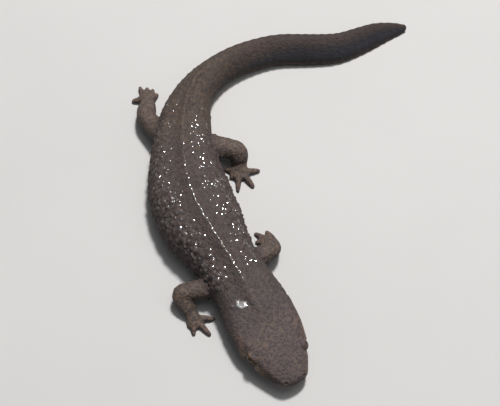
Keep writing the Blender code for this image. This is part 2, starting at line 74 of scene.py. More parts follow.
@dataclass(frozen=True)
class Section:
    """One cross section of the body, or many at once where each size is an array.

    along is measured from the tip of the snout, and heading is the way to the tail, anticlockwise from +X.
    bottom is the height of the lowest point: below zero the skin is pressed flat on the floor. widest is the
    share of the height where the section is widest. crown and belly say how square its upper and lower half
    are, with 2 for an ellipse. lean tips its upper edge over to the animal's right.
    """

    along: Size
    heading: Size
    half_width: Size
    height: Size
    bottom: Size
    widest: Size
    crown: Size
    belly: Size
    lean: Size = 0.0

    @property
    def middle_height(self) -> Size:
        """The height of its middle: it stands so that its lowest point is at its bottom."""
        lean = np.radians(self.lean)
        lower = self.height * self.widest
        return self.bottom + np.hypot(lower * np.cos(lean), self.half_width * np.sin(lean))

    def half(self, above: Numbers) -> tuple[Numbers, Numbers]:
        """How far its upper or lower half reaches from its middle, and how square that half is."""
        reach = self.height * np.where(above, 1.0 - self.widest, self.widest)
        return reach, np.where(above, self.crown, self.belly)


@dataclass(frozen=True)
class Swelling:
    """A swelling that runs along the body on both sides, at one angle from the middle of the back."""

    height: float
    from_top: float
    spread: float
    start: float
    stop: float
    fade: float


SECTIONS = (
    Section(0.0, 117.0, 1.1, 1.1, 4.3, 0.50, 2.0, 2.0, -5.0),
    Section(0.2, 117.0, 2.1, 2.2, 3.7, 0.50, 2.1, 2.1, -5.0),
    Section(0.55, 117.0, 2.95, 3.2, 3.1, 0.48, 2.3, 2.2, -5.0),
    Section(1.2, 117.0, 3.7, 4.1, 2.6, 0.46, 2.5, 2.2, -5.0),
    Section(3.0, 118.0, 4.8, 5.2, 2.0, 0.42, 2.6, 2.2, -5.0),
    Section(5.6, 118.0, 6.2, 6.2, 1.7, 0.40, 2.7, 2.2, -5.0),
    Section(9.3, 118.0, 7.9, 7.3, 1.4, 0.40, 2.7, 2.2, -5.0),
    Section(13.0, 117.5, 8.8, 7.9, 1.3, 0.42, 2.5, 2.3, -5.0),
    Section(16.0, 116.5, 9.2, 8.5, 1.1, 0.44, 2.4, 2.3, -4.0),
    Section(20.0, 116.5, 9.2, 9.7, 0.8, 0.45, 2.3, 2.3, -2.0),
    Section(24.2, 118.5, 8.7, 10.8, 0.5, 0.45, 2.2, 2.4),
    Section(29.6, 121.0, 8.1, 12.0, 0.2, 0.45, 2.2, 2.5),
    Section(34.6, 121.5, 8.0, 12.9, -0.1, 0.45, 2.2, 2.6),
    Section(42.1, 122.0, 9.1, 14.1, -0.3, 0.44, 2.2, 2.7),
    Section(48.1, 119.5, 10.6, 14.8, -0.4, 0.44, 2.2, 2.7),
    Section(56.8, 106.5, 10.8, 14.7, -0.4, 0.44, 2.2, 2.7),
    Section(63.6, 98.5, 9.8, 13.8, -0.3, 0.45, 2.2, 2.6),
    Section(74.2, 90.5, 7.8, 11.7, 0.1, 0.46, 2.2, 2.3),
    Section(81.6, 81.0, 6.8, 10.8, 0.1, 0.46, 2.1, 2.1),
    Section(87.0, 69.0, 5.6, 10.4, 0.1, 0.46, 2.0, 2.0, 2.0),
    Section(92.6, 53.5, 4.6, 10.2, -0.1, 0.46, 1.9, 1.9, 6.0),
    Section(98.8, 38.0, 3.9, 9.9, -0.3, 0.46, 1.8, 1.8, 14.0),
    Section(105.6, 24.8, 3.35, 9.7, -0.4, 0.46, 1.8, 1.8, 24.0),
    Section(113.6, 14.6, 2.8, 9.4, -0.4, 0.46, 1.8, 1.8, 32.0),
    Section(121.6, 0.6, 2.5, 9.3, -0.4, 0.47, 1.8, 1.8, 36.0),
    Section(129.8, 3.5, 2.3, 9.1, -0.4, 0.48, 1.8, 1.8, 37.0),
    Section(137.6, 24.0, 1.95, 8.5, -0.3, 0.49, 1.8, 1.8, 37.0),
    Section(144.0, 26.0, 1.5, 7.6, -0.2, 0.50, 1.8, 1.8, 37.0),
    Section(149.4, 21.0, 1.05, 5.4, -0.1, 0.50, 1.9, 1.9, 37.0),
    Section(153.4, 17.0, 0.7, 2.9, 0.2, 0.50, 2.0, 2.0, 37.0),
    Section(154.5, 16.0, 0.5, 1.7, 0.7, 0.50, 2.0, 2.0, 37.0),
    Section(154.9, 16.0, 0.3, 0.8, 1.1, 0.50, 2.0, 2.0, 37.0),
)

SWELLINGS = (
    Swelling(height=0.75, from_top=0.0, spread=8.0, start=22.0, stop=92.0, fade=8.0),
    Swelling(height=0.35, from_top=42.0, spread=11.0, start=24.0, stop=80.0, fade=8.0),
    Swelling(height=0.35, from_top=52.0, spread=12.0, start=2.5, stop=8.0, fade=2.5),
    Swelling(height=0.30, from_top=50.0, spread=13.0, start=13.0, stop=21.0, fade=3.0),
    Swelling(height=0.28, from_top=94.0, spread=10.0, start=2.0, stop=13.5, fade=2.5),
)


def smooth_step(value: Numbers | float, low: float, high: float) -> Numbers:
    """A share that rises smoothly from 0 at low to 1 at high, or falls where high is below low."""
    share = np.clip((np.asarray(value) - low) / (high - low), 0.0, 1.0)
    return share * share * (3.0 - 2.0 * share)


def smooth_between(position: Numbers, places: Numbers, values: Numbers) -> Numbers:
    """Reads values between stated places by a cubic that never overshoots them.

    Args:
        position: Where to read.
        places: The stated places, in rising order.
        values: The value at each of them.

    Returns:
        The value at each position.
    """
    steps = np.diff(places)
    slopes = np.diff(values) / steps
    before, after = slopes[:-1], slopes[1:]
    same_way = before * after > 0
    heavier = 2 * steps[1:] + steps[:-1]
    lighter = steps[1:] + 2 * steps[:-1]
    before, after = np.where(same_way, before, 1.0), np.where(same_way, after, 1.0)
    mean = (heavier + lighter) / (heavier / before + lighter / after)
    tangents = np.concatenate(([slopes[0]], np.where(same_way, mean, 0.0), [slopes[-1]]))
    index = np.clip(np.searchsorted(places, position, side="right") - 1, 0, len(places) - 2)
    t = (position - places[index]) / steps[index]
    return (
        values[index] * (1 + 2 * t) * (1 - t) ** 2
        + tangents[index] * steps[index] * t * (1 - t) ** 2
        + values[index + 1] * t**2 * (3 - 2 * t)
        + tangents[index + 1] * steps[index] * t**2 * (t - 1)
    )


def bell(value: Size, middle: float, width: float) -> Size:
    """A share that is 1 at the middle and falls off smoothly on both sides."""
    return np.exp(-(((value - middle) / width) ** 2))


def between(value: Numbers, start: float, full: float, fading: float, stop: float) -> Numbers:
    """A share that is 1 from full to fading, and 0 before start and after stop."""
    return smooth_step(value, start, full) * smooth_step(value, stop, fading)


@dataclass
class SkinPlace:
    """Where each of many points lies on the body.

    from_top is the angle round from the middle of the back, above zero on the animal's left. spread is 1 on
    the body's own skin and grows away from it, as on the legs.
    """

    along: Numbers
    from_top: Numbers
    spread: Numbers
    sideways: Numbers
    rise: Numbers

    @property
    def around(self) -> Numbers:
        """The angle from the middle of the back, the same on both sides."""
        return np.abs(self.from_top)


@dataclass
class BodyPlan:
    """The newt's measured shape: cross sections along a spine that bends over the floor."""

    sections: tuple[Section, ...] = SECTIONS
    swellings: tuple[Swelling, ...] = SWELLINGS
    snout: tuple[float, float] = (11.45, -49.2)
    head_length: float = 13.2
    step: float = 0.25
    block: int = 8000
    spine_along: Numbers = field(init=False)
    spine: Numbers = field(init=False)

    def __post_init__(self) -> None:
        """Walks along the headings from the snout, and keeps the way."""
        self.spine_along = np.arange(0.0, self.length + self.step, self.step)
        headings = np.radians(self.at((self.spine_along[:-1] + self.spine_along[1:]) / 2).heading)
        ways = np.stack([np.cos(headings), np.sin(headings)], axis=1) * self.step
        start = np.array(self.snout) - np.array(MIDDLE)
        self.spine = start + np.concatenate([np.zeros((1, 2)), np.cumsum(ways, axis=0)])

    @property
    def length(self) -> float:
        """From snout to tail tip, along the spine."""
        return self.sections[-1].along

    @property
    def head_way(self) -> Vector:
        """The way the head points, over the floor."""
        ends = self.points(self.at(np.array([0.0, self.head_length])), 0.0, np.zeros(2))
        return Vector(ends[0] - ends[1]).normalized()

    def at(self, along: Numbers) -> Section:
        """The cross sections at distances from the snout."""
        places, *sizes = np.array([astuple(section) for section in self.sections]).T
        return Section(along, *(smooth_between(along, places, values) for values in sizes))

    def points(self, at: Section, sideways: Size, height: Numbers) -> Numbers:
        """Points over the floor, beside the spine.

        Args:
            at: The section of each.
            sideways: How far each lies to the animal's left.
            height: How high each lies.

        Returns:
            A row of x, y and z for each.
        """
        heading = np.radians(at.heading)
        east = np.interp(at.along, self.spine_along, self.spine[:, 0]) + sideways * np.sin(heading)
        north = np.interp(at.along, self.spine_along, self.spine[:, 1]) - sideways * np.cos(heading)
        return np.stack([east, north, height], axis=-1)

    def section_points(self, at: Section, sideways: Size, rise: Size) -> Numbers:
        """Points in their sections, which lean.

        Args:
            at: The section of each.
            sideways: How far each lies to the animal's left, before it leans.
            rise: How far each lies above the section's middle, before it leans.

        Returns:
            A row of x, y and z for each.
        """
        lean = np.radians(at.lean)
        leaning_sideways = sideways * np.cos(lean) - rise * np.sin(lean)
        leaning_rise = rise * np.cos(lean) + sideways * np.sin(lean)
        return self.points(at, leaning_sideways, at.middle_height + leaning_rise)

    def swelling_height(self, along: Numbers, around: Numbers) -> Numbers:
        """How far the ridges and swellings stand out of the plain sections.

        Args:
            along: How far from the snout.
            around: The angle from the middle of the back, on either side.

        Returns:
            The height at each place.
        """
        raised = np.zeros(np.broadcast(along, around).shape)
        for swelling in self.swellings:
            past_ends = np.maximum(swelling.start - along, along - swelling.stop)
            outside = np.maximum(past_ends, 0.0) / swelling.fade
            fading = swelling.height * np.exp(-4.0 * outside**2)
            raised = raised + fading * bell(around, swelling.from_top, swelling.spread)
        return raised

    def skin_points(self, along: Numbers, from_top: Numbers) -> Numbers:
        """Points on the skin.

        Args:
            along: How far from the snout.
            from_top: The angle round from the middle of the back.

        Returns:
            A row of x, y and z for each.
        """
        at = self.at(along)
        angle = np.radians(90.0 - from_top)
        reach, square = at.half(np.sin(angle) > 0)
        power = 2.0 / square
        sideways = at.half_width * np.sign(np.cos(angle)) * np.abs(np.cos(angle)) ** power
        rise = reach * np.sign(np.sin(angle)) * np.abs(np.sin(angle)) ** power
        around = np.abs((from_top + 180.0) % 360.0 - 180.0)
        grown = 1.0 + self.swelling_height(along, around) / np.hypot(sideways, rise)
        return self.section_points(at, sideways * grown, rise * grown)

    def locate(self, points: Numbers) -> SkinPlace:
        """Finds where points lie on the body.

        Args:
            points: One row of x, y and z for each.

        Returns:
            Their places along and round the body.
        """
        nearest = np.empty(len(points), int)
        for start in range(0, len(points), self.block):
            away = points[start : start + self.block, None, :2] - self.spine[None]
            nearest[start : start + self.block] = (away**2).sum(axis=2).argmin(axis=1)
        at = self.at(self.spine_along[nearest])
        heading = np.radians(at.heading)
        forward = np.stack([np.cos(heading), np.sin(heading)], axis=1)
        away = points[:, :2] - self.spine[nearest]
        at = self.at(np.clip(at.along + (away * forward).sum(axis=1), 0.0, self.length))
        leftward = away[:, 0] * forward[:, 1] - away[:, 1] * forward[:, 0]
        lean = np.radians(at.lean)
        leaning_rise = points[:, 2] - at.middle_height
        sideways = leftward * np.cos(lean) + leaning_rise * np.sin(lean)
        rise = leaning_rise * np.cos(lean) - leftward * np.sin(lean)
        above = rise > 0
        reach, power = at.half(above)
        across = (np.abs(sideways) / at.half_width) ** (power / 2)
        upward = (np.abs(rise) / reach) ** (power / 2) * np.where(above, 1.0, -1.0)
        from_top = np.copysign(90.0 - np.degrees(np.arctan2(upward, across)), sideways)
        return SkinPlace(at.along, from_top, np.hypot(across, upward) ** (2 / power), sideways, rise)


@dataclass(frozen=True)
class Leg:
    """One leg as it lies: root, bend and wrist are joints, and tips are the digits' ends, left to right.

    radii are those of the root, the middle of the upper part, the bend, the middle of the lower part and the
    wrist. The digits end at the stated points, on the floor. The sizes stated here are those of a fore leg.
    """

    root: tuple[float, float, float]
    bend: tuple[float, float, float]
    wrist: tuple[float, float, float]
    palm: tuple[float, float, float]
    tips: tuple[tuple[float, float], ...]
    radii: tuple[float, float, float, float, float] = (2.9, 2.6, 2.3, 2.3, 1.7)
    palm_half_width: float = 2.0
    palm_thickness: float = 1.15
    digit_radius: float = 0.85

    @property
    def forward(self) -> Vector:
        """The way the hand or foot points, over the floor."""
        wrist, palm = placed(self.wrist), placed(self.palm)
        return Vector((palm.x - wrist.x, palm.y - wrist.y, 0.0)).normalized()


HIND_SIZES: dict[str, Any] = {
    "radii": (3.2, 2.9, 2.5, 2.6, 1.9),
    "palm_half_width": 2.5,
    "palm_thickness": 1.2,
}

LEGS = (
    Leg(
        root=(-3.5, -19.0, 5.6),
        bend=(5.4, -13.9, 6.0),
        wrist=(6.3, -10.8, 2.1),
        palm=(5.3, -9.8, 1.1),
        tips=((2.6, -11.6), (1.0, -9.3), (0.9, -6.8), (4.1, -6.2)),
    ),
    Leg(
        root=(-5.5, -23.2, 5.4),
        bend=(-18.3, -25.1, 4.6),
        wrist=(-15.1, -29.6, 2.0),
        palm=(-14.2, -31.3, 1.1),
        tips=((-8.6, -30.7), (-10.0, -35.3), (-14.3, -35.3), (-15.7, -33.2)),
    ),
    Leg(
        root=(-13.0, 16.9, 5.4),
        bend=(-3.4, 15.4, 5.2),
        wrist=(-2.6, 12.9, 2.0),
        palm=(-3.0, 11.1, 1.1),
        tips=((2.8, 11.4), (1.1, 6.3), (-3.2, 4.8), (-5.6, 8.7), (-7.3, 11.7)),
        digit_radius=0.9,
        **HIND_SIZES,
    ),
    Leg(
        root=(-20.5, 16.0, 5.4),
        bend=(-28.2, 25.2, 4.9),
        wrist=(-28.0, 31.4, 2.0),
        palm=(-28.2, 33.0, 1.1),
        tips=((-32.7, 32.4), (-30.6, 37.1), (-28.5, 36.9), (-26.7, 36.4), (-25.3, 34.8)),
        **HIND_SIZES,
    ),
)


def placed(point: tuple[float, ...]) -> Vector:
    """A point of the pose in the model's own frame."""
    return Vector((point[0] - MIDDLE[0], point[1] - MIDDLE[1], point[2]))


def linear(hex_colour: str) -> Tint:
    """Turns an sRGB colour such as "#5a4f50" to the linear values that a shader takes."""
    channels = [int(hex_colour[place : place + 2], 16) / 255 for place in (1, 3, 5)]
    return (*(c / 12.92 if c <= 0.04045 else ((c + 0.055) / 1.055) ** 2.4 for c in channels), 1.0)


class Blend(Enum):
    """How one colour lies over another."""

    COVER = "MIX"
    TINT = "MULTIPLY"


class Painter:
    """Builds one material out of nodes. Its patterns take their sizes in millimetres."""

    def __init__(self, name: str) -> None:
        """Starts an empty material.

        Args:
            name: What the material is called.
        """
        self.material = bpy.data.materials.new(name)
        self.material.use_nodes = True
        self.tree = self.material.node_tree
        self.tree.nodes.clear()
        self.place = self.add("ShaderNodeTexCoord").outputs["Object"]

    def add(self, kind: str, inputs: dict[str | int, Any] | None = None, **settings: Any) -> bpy.types.Node:
        """Adds a shader node with its settings and links.

        Args:
            kind: Blender's type name of the node.
            inputs: For each input, by name or place, the socket that feeds it or its value.
            settings: The node's own properties.

        Returns:
            The new node.
        """
        node = self.tree.nodes.new(kind)
        for name, value in settings.items():
            setattr(node, name, value)
        for name, value in (inputs or {}).items():
            if isinstance(value, Socket):
                self.tree.links.new(value, node.inputs[name])
            else:
                node.inputs[name].default_value = linear(value) if isinstance(value, str) else value
        return node

    def read(self, name: str) -> Socket:
        """A number that the mesh keeps for each point."""
        return self.add("ShaderNodeAttribute", attribute_name=name).outputs["Fac"]

    def share(self, value: Socket, low: float, high: float, top: float = 1.0) -> Socket:
        """Rises smoothly from 0 at low to top at high."""
        bounds = {"Value": value, "From Min": low, "From Max": high, "To Max": top}
        return self.add("ShaderNodeMapRange", bounds, interpolation_type="SMOOTHSTEP").outputs[0]

    def join(self, first: Socket | float, second: Socket | float, operation: str = "MULTIPLY") -> Socket:
        """Joins two numbers."""
        return self.add("ShaderNodeMath", {0: first, 1: second}, operation=operation).outputs[0]

    def blend(self, factor: Socket | float, under: Any, over: Any, mode: Blend = Blend.COVER) -> Socket:
        """Lays one colour over another, each a socket, an sRGB code or a tint."""
        inputs = {0: factor, 6: under, 7: over}
        return self.add("ShaderNodeMix", inputs, data_type="RGBA", blend_type=mode.value).outputs[2]

    def noise(self, size: float, detail: float, roughness: float = 0.5, output: str = "Fac") -> Socket:
        """Cloudy variation in patches about so wide."""
        inputs = {"Vector": self.place, "Scale": 1.0 / (size * METRES_PER_MM)}
        inputs |= {"Detail": detail, "Roughness": roughness}
        return self.add("ShaderNodeTexNoise", inputs).outputs[output]

    def cells(self, place: Socket, size: float, randomness: float = 1.0) -> bpy.types.Node:
        """Round cells about so wide, with the distance from each one's middle and a number of its own."""
        inputs = {"Vector": place, "Scale": 1.0 / (size * METRES_PER_MM), "Randomness": randomness}
        return self.add("ShaderNodeTexVoronoi", inputs, feature="F1")

    def bump(self, height: Socket, tall: float, **inputs: Any) -> Socket:
        """Raises a pattern out of the surface, as high as stated."""
        inputs = {"Height": height, "Distance": tall * METRES_PER_MM} | inputs
        return self.add("ShaderNodeBump", inputs).outputs[0]

    def finish(self, inputs: dict[str, Any]) -> bpy.types.Material:
        """Ends the material with its surface."""
        shader = self.add("ShaderNodeBsdfPrincipled", inputs)
        self.add("ShaderNodeOutputMaterial", {"Surface": shader.outputs[0]})
        return self.material


def add_object(name: str, data: bpy.types.ID) -> bpy.types.Object:
    """Adds an object to the scene, unturned and unscaled at the origin."""
    obj = bpy.data.objects.new(name, data)
    bpy.context.scene.collection.objects.link(obj)
    return obj


def add_mesh(name: str, mesh: bmesh.types.BMesh) -> bpy.types.Object:
    """Turns a finished bmesh into an object of the scene.

    Args:
        name: What the object is called.
        mesh: Its mesh, which is freed.

    Returns:
        The new object.
    """
    data = bpy.data.meshes.new(name)
    mesh.to_mesh(data)
    mesh.free()
    return add_object(name, data)


def read_rows(data: bpy.types.Mesh, what: str = "co") -> Numbers:
    """The points or the normals of a mesh, a row for each."""
    values = np.empty(len(data.vertices) * 3)
    data.vertices.foreach_get(what, values)
    return values.reshape(-1, 3)


def write_numbers(data: bpy.types.Mesh, numbers: dict[str, Numbers]) -> None:
    """Keeps named numbers for each point of a mesh, for its material to read."""
    for name, values in numbers.items():
        data.attributes.new(name, "FLOAT", "POINT").data.foreach_set("value", values.astype(np.float32))


def smooth(mesh: bmesh.types.BMesh, verts: list[bmesh.types.BMVert], factor: float = 0.5) -> None:
    """Moves points towards the middle of their neighbours."""
    axes = {f"use_axis_{axis}": True for axis in "xyz"}
    bmesh.ops.smooth_vert(mesh, verts=verts, factor=factor, **axes)


@dataclass(frozen=True)
class Tube:
    """A fleshy tube through rings, each with its middle, radius and flatness, and closed at both ends."""

    rings: list[tuple[Vector, float, float]]
    sides: int = 24

    def add_to(self, mesh: bmesh.types.BMesh) -> None:
        """Lofts the tube as a closed surface of its own.

        Args:
            mesh: The mesh that it is added to.
        """
        loops = []
        last = len(self.rings) - 1
        for i, (middle, radius, flat) in enumerate(self.rings):
            way = (self.rings[min(i + 1, last)][0] - self.rings[max(i - 1, 0)][0]).normalized()
            across = way.cross(UP).normalized()
            turn = Matrix((across, across.cross(way), way)).transposed().to_4x4()
            shape = Matrix.Translation(middle) @ turn @ Matrix.Diagonal((radius, radius * flat, 1.0, 1.0))
            loops.append(add_ring(mesh, self.sides, shape))
        bridge(mesh, loops)


def add_ring(mesh: bmesh.types.BMesh, sides: int, shape: Matrix) -> list[bmesh.types.BMVert]:
    """Adds a circle of radius 1, moved and stretched by a matrix."""
    made = bmesh.ops.create_circle(mesh, cap_ends=False, segments=sides, radius=1.0, matrix=shape)
    return made["verts"]


def ring_edges(ring: list[bmesh.types.BMVert]) -> list[bmesh.types.BMEdge]:
    """The edges between the points of one ring."""
    members = set(ring)
    return list({edge for vert in ring for edge in vert.link_edges if set(edge.verts) <= members})


def bridge(mesh: bmesh.types.BMesh, rings: list[list[bmesh.types.BMVert]]) -> None:
    """Joins rings in order by a skin, and closes both ends.

    Args:
        mesh: The mesh that holds the rings.
        rings: The points of each ring.
    """
    loops = [ring_edges(ring) for ring in rings]
    for near, far in zip(loops, loops[1:]):
        bmesh.ops.bridge_loops(mesh, edges=near + far)
    for loop in (loops[0], loops[-1]):
        bmesh.ops.contextual_create(mesh, geom=loop)


def bulging(start: float, middle: float, end: float, share: float) -> float:
    """A radius on the way from start to end, which is that of the middle half way."""
    bulge = middle - (start + end) / 2
    return start + (end - start) * share + bulge * 4 * share * (1 - share)


def round_end(
    end: Vector, reach: Vector, radius: float, flat: float, turns: tuple[float, ...]
) -> list[tuple[Vector, float, float]]:
    """The rings that round a tube off past its last full one, at angles of which 90 is the very end."""
    angles = [math.radians(turn) for turn in turns]
    return [(end + reach * math.sin(angle), radius * math.cos(angle), flat) for angle in angles]


def sample_limb(leg: Leg) -> Tube:
    """The arm or leg from inside the trunk to the palm, rounded at its bend.

    Args:
        leg: The leg's joints and radii.

    Returns:
        The tube to loft.
    """
    root, bend, wrist, palm = (placed(point) for point in (leg.root, leg.bend, leg.wrist, leg.palm))
    forward = leg.forward
    corner, fullness, wrist_flat, elbow_swell, palm_widening = 0.24, 0.95, 0.75, 0.06, 1.6
    past_palm, end_reach, end_width = 0.25, 0.9, 0.92
    end = palm + forward * leg.palm_half_width * past_palm
    upper, middle_upper, at_bend, middle_lower, at_wrist = leg.radii
    rings = []
    for share in (0.0, 0.15, 0.3, 0.45, 0.6, 0.7, 1.0 - corner):
        rings.append((root.lerp(bend, share), bulging(upper, middle_upper, at_bend, share), 1.0))
    before, after = root.lerp(bend, 1.0 - corner), bend.lerp(wrist, corner)
    for share in (0.2, 0.4, 0.6, 0.8):
        point = before.lerp(bend, share).lerp(bend.lerp(after, share), share)
        rings.append((point, at_bend * (1.0 + elbow_swell * math.sin(math.pi * share)), 1.0))
    for share in (corner, 0.4, 0.55, 0.7, 0.85):
        radius = bulging(at_bend, middle_lower, at_wrist, share)
        rings.append((bend.lerp(wrist, share), radius, 1.0 - (1.0 - wrist_flat) * share))
    flat = leg.palm_thickness / leg.palm_half_width
    narrow, wide = at_wrist * fullness, leg.palm_half_width * fullness
    for share in (0.0, 0.25, 0.5, 0.75, 1.0):
        radius = narrow + (wide - narrow) * min(1.0, share * palm_widening)
        rings.append((wrist.lerp(end, share), radius, wrist_flat + (flat - wrist_flat) * share))
    reach = forward * leg.palm_half_width * end_reach
    rings += round_end(end, reach, leg.palm_half_width * end_width, flat, (30.0, 60.0, 82.0))
    return Tube(rings)


def sample_digits(leg: Leg) -> list[Tube]:
    """The fingers or toes, a little thicker at their joints and round at their tips.

    Args:
        leg: The leg with its palm and the ends of its digits.

    Returns:
        One tube for each digit.
    """
    palm = placed(leg.palm)
    leftward = UP.cross(leg.forward)
    tip_taper, fullness, root_spread, root_rise = 0.64, 1.06, 0.62, 1.1
    tip_height, arch, flat = 0.55, 0.28, 0.92
    knuckles = ((0.07, 0.42, 0.1), (0.08, 0.74, 0.09))
    tip_radius = leg.digit_radius * tip_taper
    tubes = []
    for i, tip in enumerate(leg.tips):
        beside = 1.0 - 2.0 * i / (len(leg.tips) - 1)
        base = palm + leftward * beside * leg.palm_half_width * root_spread
        base.z = leg.digit_radius * root_rise
        end = placed((*tip, tip_height))
        way = (end - base).normalized()
        end -= way * tip_radius
        rings = []
        for share in (0.0, 0.2, 0.4, 0.55, 0.7, 0.85, 1.0):
            swollen = sum(swell * bell(share, middle, width) for swell, middle, width in knuckles)
            point = base.lerp(end, share)
            point.z += arch * math.sin(math.pi * share)
            radius = leg.digit_radius + (tip_radius - leg.digit_radius) * share
            rings.append((point, radius * (fullness + swollen), flat))
        rings += round_end(end, way * tip_radius, tip_radius, flat, (30.0, 58.0, 80.0))
        tubes.append(Tube(rings, sides=16))
    return tubes


class Side(Enum):
    """The animal's two eyes, each by its node's name."""

    LEFT = "eye_left"
    RIGHT = "eye_right"


@dataclass(frozen=True)
class EyeSocket:
    """Where an eye stands, along the body, to its left and above its middle, and how its lids open."""

    side: Side
    along: float
    sideways: float
    rise: float = 1.9
    radius: float = 1.5
    looks_forward: float = 12.0
    looks_up: float = 22.0
    half_length: float = 0.84
    half_height: float = 0.56

    def matrix(self, body: BodyPlan) -> Matrix:
        """Stands at the middle of the eye, with Z the way it looks and X along the opening of its lids.

        Args:
            body: The body that the eye stands in.

        Returns:
            The eye's own frame.
        """
        middle = Vector(body.section_points(body.at(np.array([self.along])), self.sideways, self.rise)[0])
        ahead = body.head_way
        outward = ahead.cross(UP) * -math.copysign(1.0, self.sideways)
        turn, lift = math.radians(self.looks_forward), math.radians(self.looks_up)
        look = (outward * math.cos(turn) + ahead * math.sin(turn)) * math.cos(lift) + UP * math.sin(lift)
        level = look.cross(UP).normalized()
        return Matrix.Translation(middle) @ Matrix((level, look.cross(level), look)).transposed().to_4x4()


SOCKETS = (
    EyeSocket(Side.LEFT, along=8.0, sideways=5.8),
    EyeSocket(Side.RIGHT, along=10.4, sideways=-6.8),
)


@dataclass(frozen=True)
class WetSkin:
    """Amphibian skin, grown, not made: dark and finely granular, moist, with water left on warts and ridge.

    Fine granules and a net of olive pigment round dark pits keep any patch of it from looking painted, and a
    clear coat of water shines on the wart tips, the ridge and the nape. Sizes are in millimetres.
    """

    head: str = "#32282b"
    neck: str = "#2c2424"
    back: str = "#2a201f"
    flank: str = "#2d2223"
    hip: str = "#2f241f"
    tail: str = "#2a201b"
    tail_rear: str = "#100b10"
    tail_stripe: str = "#1b1a24"
    tail_edge: str = "#271814"
    leg: str = "#3a2f2b"
    toe: str = "#42342f"
    # Painted shade: the dark colour laid into the mouth groove and the creases round the lids.
    painted_crease_shade: str = "#1d1716"
    rust: str = "#4b3829"
    lip: str = "#5c4d40"
    belly: str = "#1f1a19"
    belly_spot: str = "#a83f1a"
    olive_net: Tint = (1.72, 1.7, 1.25, 1.0)
    crown: Tint = (1.08, 1.1, 0.96, 1.0)
    wart_tip: Tint = (1.05, 0.99, 0.98, 1.0)
    blotch: Tint = (0.74, 0.7, 0.76, 1.0)
    dark_pit: Tint = (0.5, 0.48, 0.49, 1.0)
    dark_grain: Tint = (0.63, 0.62, 0.6, 1.0)
    pale_grain: Tint = (1.4, 1.39, 1.34, 1.0)
    granule: float = 0.68
    fine_granule: float = 0.27
    grain_height: float = 0.18
    drift: float = 0.7
    drift_size: float = 1.0 / 1.3
    pearl: float = 1.2
    pearl_reach: float = 0.46
    pearl_height: float = 0.15
    mottle: float = 6.0
    speckle: float = 1.05
    spot: float = 5.5
    damp_roughness: float = 0.76
    film_roughness: float = 0.08
    ior: float = 1.5
    film_ior: float = 2.0

    def material(self) -> bpy.types.Material:
        """Builds the skin's material, which reads the numbers that the skin is painted with.

        Returns:
            The finished material.
        """
        paint = Painter("wet granular amphibian skin")
        share, join, noise = paint.share, paint.join, paint.noise
        names = ("along", "around", "leg", "toe", "belly", "lip", "stripe", "edge", "rust", "wart", "crease_shade")
        read = {name: paint.read(name) for name in (*names, "band", "film")}
        along, around = read["along"], read["around"]
        speckle = noise(self.speckle, 4.0, 0.6)
        pearls, bumps = self.pearls(paint, read["band"], speckle)
        granules, fine = self.granules(paint)
        mottle = noise(self.mottle, 3.0, 0.55)
        net = join(share(granules, 0.35, 0.7), share(mottle, 0.15, 0.8))
        on_trunk = join(share(along, 26.0, 34.0), share(along, 80.0, 70.0))
        spots = share(noise(self.spot, 2.0, 0.45), 0.52, 0.56)
        layers = (
            (share(along, 14.0, 27.0), self.neck),
            (share(along, 25.0, 36.0), self.back),
            (share(along, 64.0, 78.0), self.hip),
            (share(along, 92.0, 106.0), self.tail),
            (share(along, 108.0, 124.0), self.tail_rear),
            (join(on_trunk, share(around, 50.0, 82.0)), self.flank),
            (join(read["stripe"], 0.8), self.tail_stripe),
            (join(read["edge"], 0.75), self.tail_edge),
            (read["leg"], self.leg),
            (read["toe"], self.toe),
            (join(read["rust"], share(speckle, 0.35, 0.65)), self.rust),
            (join(net, share(along, 126.0, 104.0)), self.olive_net, Blend.TINT),
            (join(read["lip"], share(mottle, 0.35, 0.6)), self.lip),
            (read["wart"], self.wart_tip, Blend.TINT),
            (join(share(mottle, 0.5, 0.64), share(along, 4.0, 36.0)), self.blotch, Blend.TINT),
            (join(share(around, 60.0, 15.0), share(along, 22.0, 12.0)), self.crown, Blend.TINT),
            (share(granules, 0.4, 0.1), self.dark_pit, Blend.TINT),
            # Painted shade darkens the mouth groove and the creases at the lids' edges and fold.
            (read["crease_shade"], self.painted_crease_shade),
            (read["belly"], paint.blend(spots, self.belly, self.belly_spot)),
            (1.0, paint.blend(share(speckle, 0.25, 0.75), self.dark_grain, self.pale_grain), Blend.TINT),
        )
        colour: Any = self.head
        for factor, over, *mode in layers:
            colour = paint.blend(factor, colour, over, *mode)
        height = join(share(granules, 0.7, 0.1, 0.7), share(fine, 0.6, 0.1, 0.3), "ADD")
        height = join(height, join(speckle, 0.4), "ADD")
        surface = {
            "Base Color": colour,
            "Roughness": join(share(speckle, 0.3, 0.7, 0.1), self.damp_roughness, "ADD"),
            "IOR": self.ior,
            "Normal": paint.bump(height, self.grain_height, Strength=0.8, Normal=bumps),
            "Coat Weight": join(read["film"], share(pearls, 0.0, 0.5), "MAXIMUM"),
            "Coat Roughness": self.film_roughness,
            "Coat IOR": self.film_ior,
            "Coat Normal": bumps,
        }
        return paint.finish(surface)

    def granules(self, paint: Painter) -> tuple[Socket, Socket]:
        """The larger and the finer granules, each as the distance from the middle of a granule.

        Args:
            paint: The material.

        Returns:
            The larger ones and the finer ones.
        """
        drift = paint.noise(self.drift_size, 2.0, output="Color")
        bent = {0: drift, 1: (self.drift * METRES_PER_MM,) * 3, 2: paint.place}
        place = paint.add("ShaderNodeVectorMath", bent, operation="MULTIPLY_ADD").outputs[0]
        sizes = (self.granule, self.fine_granule)
        return tuple(paint.cells(place, size).outputs["Distance"] for size in sizes)

